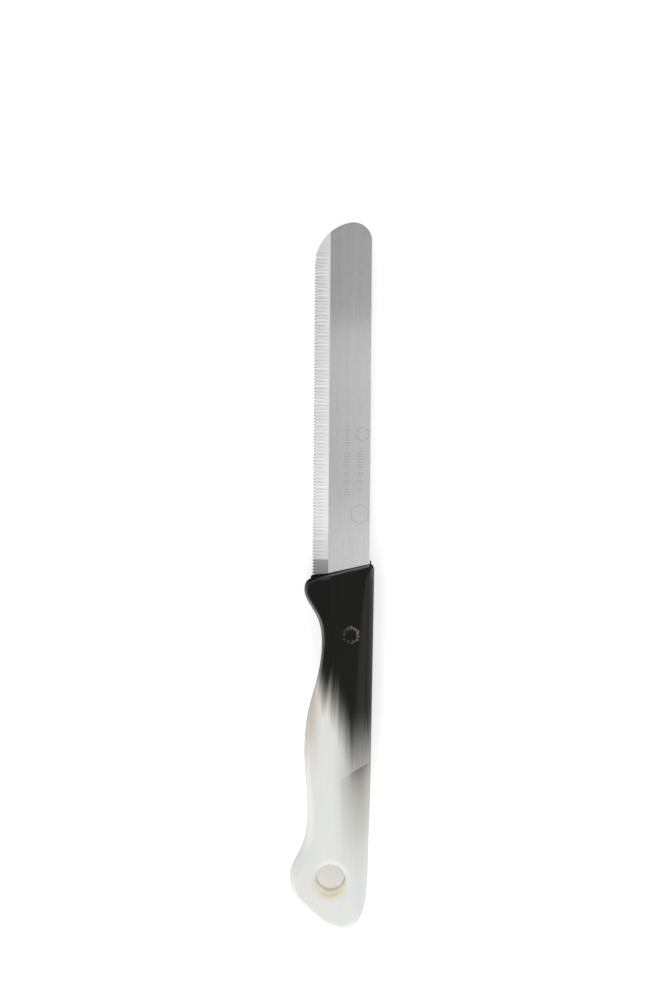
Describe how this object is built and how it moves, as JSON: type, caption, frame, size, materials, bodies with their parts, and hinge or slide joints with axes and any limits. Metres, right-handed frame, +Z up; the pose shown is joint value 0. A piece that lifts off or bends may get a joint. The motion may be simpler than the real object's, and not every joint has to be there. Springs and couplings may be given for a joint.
{
  "type": "uncapping knife",
  "caption": "Short round-nosed uncapping knife lying on its side: fluted, fine-toothed steel blade moulded into a black-to-white plastic handle with a hanging hole.",
  "frame": {"origin": "bottom centre of the knife's bounding box, with the knife lying flat on the handle's side", "axes": "+Y along the knife from the butt to the blade's tip; +X towards the spine, so that the toothed edge faces -X; +Z up, through the knife's thickness"},
  "size_m": [0.0258, 0.22, 0.0125],
  "materials": {
    "blade_steel": "satin stainless steel with a fine grain along the blade, a brighter ground bevel with flutes across it, and faint etched marks near the spine",
    "handle_plastic": "glossy polypropylene, black at the blade and white at the butt, in one moulding"
  },
  "bodies": {
    "root": {"blade": "blade_steel", "handle": "handle_plastic"}
  },
  "joints": []
}
